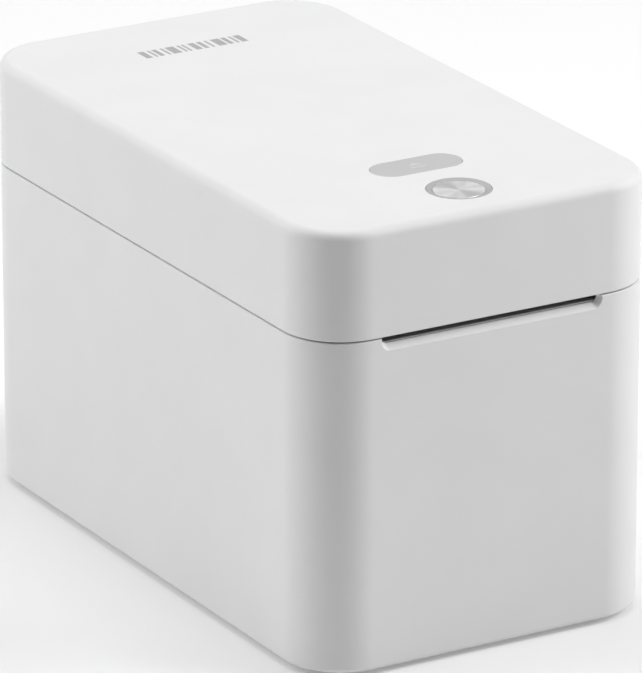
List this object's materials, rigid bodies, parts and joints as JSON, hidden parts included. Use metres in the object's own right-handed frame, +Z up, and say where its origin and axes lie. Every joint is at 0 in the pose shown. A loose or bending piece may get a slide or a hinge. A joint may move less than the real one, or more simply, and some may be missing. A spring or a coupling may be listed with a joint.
{
  "type": "thermal label printer",
  "caption": "White desktop thermal label printer with a rear-hinged lid, a label slot at the seam, an open button, a power button and a roll bay with side guides.",
  "frame": {"origin": "middle of the footprint, on the surface the feet stand on", "axes": "+Z up; +Y from the label slot at the front towards the hinge at the rear; +X to the right seen from the front"},
  "size_m": [0.09, 0.1574, 0.1048],
  "materials": {
    "case_plastic": "fine matt white moulding",
    "inner_plastic": "matt light grey moulding",
    "guide_plastic": "satin light grey moulding",
    "frame_plastic": "satin natural acetal",
    "gear_plastic": "satin natural acetal",
    "latch_plastic": "matt dark grey moulding",
    "button_plastic": "satin light grey",
    "ring_plastic": "frosted translucent grey",
    "disc_metal": "spun concentric finish",
    "foot_rubber": "matt",
    "platen_rubber": "ground matt",
    "steel": "satin",
    "spring_steel": "drawn wire",
    "sheet_steel": "zinc plated",
    "brass": "machined",
    "aluminium": "extruded, satin",
    "head_ceramic": "glazed alumina board",
    "board_green": "solder mask",
    "black_plastic": "matt black moulding",
    "ribbon": "flat flexible cable"
  },
  "bodies": {
    "base": {"lower_case": "case_plastic", "bottom_cover": "case_plastic", "case_screws": "steel", "foot_front_left": "foot_rubber", "foot_front_right": "foot_rubber", "foot_rear_left": "foot_rubber", "foot_rear_right": "foot_rubber", "roll_tub": "inner_plastic", "tub_screws": "steel", "tear_bar": "steel", "guide_cover": "inner_plastic", "print_frame": "sheet_steel", "platen_bush_left": "frame_plastic", "platen_bush_right": "frame_plastic", "idler_stud": "steel", "stepper_motor": "sheet_steel", "motor_screws": "steel", "gap_sensor": "board_green", "main_board": "board_green", "board_screws": "steel", "dc_inlet": "black_plastic", "usb_port": "steel"},
    "lid": {"lid_shell": "case_plastic", "lid_liner": "inner_plastic", "liner_screws": "steel", "hinge_pin": "steel", "open_button_spring": "spring_steel", "latch_spring": "spring_steel", "button_frame": "frame_plastic", "frame_screws": "steel", "power_ring": "ring_plastic", "power_board": "board_green", "power_switch": "black_plastic", "head_cradle": "sheet_steel", "head_pivot_pin": "steel", "head_spring_left": "spring_steel", "head_spring_right": "spring_steel"},
    "open_key": {"open_button": "button_plastic"},
    "latch": {"latch_bar": "latch_plastic"},
    "power_key": {"power_button": "disc_metal"},
    "print_head": {"head_bracket": "sheet_steel", "heat_sink": "aluminium", "thermal_head": "head_ceramic", "head_ribbon": "ribbon"},
    "platen": {"platen_shaft": "steel", "platen_sleeve": "platen_rubber", "platen_gear": "gear_plastic"},
    "idler": {"idler_gear": "gear_plastic"},
    "rotor": {"motor_shaft": "steel", "motor_pinion": "brass"},
    "left_guide": {"left_roll_guide": "guide_plastic"},
    "right_guide": {"right_roll_guide": "guide_plastic"},
    "guide_gear": {"guide_pinion": "gear_plastic"}
  },
  "joints": [
    {"name": "lid_hinge", "type": "hinge", "parent": "base", "child": "lid", "pos_m": [0, 0.07575, 0.0793], "axis": [-1, 0, 0], "range_deg": [0, 85]},
    {"name": "open_press", "type": "slide", "parent": "lid", "child": "open_key", "axis": [0, 0, -1], "range_m": [0, 0.002], "stiffness_N_per_m": 600, "springref_m": -0.001, "deforming": ["open_button_spring"]},
    {"name": "latch_swing", "type": "hinge", "parent": "lid", "child": "latch", "pos_m": [0, -0.038, 0.092], "axis": [1, 0, 0], "range_deg": [0, 14.1], "deforming": ["latch_spring"]},
    {"name": "power_press", "type": "slide", "parent": "lid", "child": "power_key", "axis": [0, 0, -1], "range_m": [0, 0.0005], "stiffness_N_per_m": 2000, "springref_m": -0.0005},
    {"name": "head_tilt", "type": "hinge", "parent": "lid", "child": "print_head", "pos_m": [0, -0.0532, 0.0869], "axis": [-1, 0, 0], "range_deg": [0, 2.5], "stiffness_Nm_per_rad": 4, "springref_deg": -5.73, "deforming": ["head_spring_left", "head_spring_right"]},
    {"name": "platen_spin", "type": "hinge", "parent": "base", "child": "platen", "pos_m": [0, -0.065, 0.07295], "axis": [1, 0, 0], "continuous": true},
    {"name": "idler_spin", "type": "hinge", "parent": "base", "child": "idler", "pos_m": [0, -0.05694, 0.06489], "axis": [1, 0, 0], "continuous": true},
    {"name": "rotor_spin", "type": "hinge", "parent": "base", "child": "rotor", "pos_m": [0, -0.05568, 0.05054], "axis": [1, 0, 0], "continuous": true},
    {"name": "right_guide_slide", "type": "slide", "parent": "base", "child": "right_guide", "axis": [-1, 0, 0], "range_m": [0, 0.016]},
    {"name": "left_guide_slide", "type": "slide", "parent": "base", "child": "left_guide", "axis": [1, 0, 0], "range_m": [0, 0.016]},
    {"name": "guide_gear_turn", "type": "hinge", "parent": "base", "child": "guide_gear", "pos_m": [0, 0.022, 0.013], "axis": [0, 0, 1], "range_deg": [0, 164]}
  ],
  "couplings": [
    {"joint": "latch_swing", "follows": "open_press", "rad_per_m": 122.17},
    {"joint": "idler_spin", "follows": "platen_spin", "ratio": -1.7143},
    {"joint": "rotor_spin", "follows": "platen_spin", "ratio": 5.1429},
    {"joint": "left_guide_slide", "follows": "right_guide_slide", "ratio": 1},
    {"joint": "guide_gear_turn", "follows": "right_guide_slide", "rad_per_m": 178.57}
  ]
}
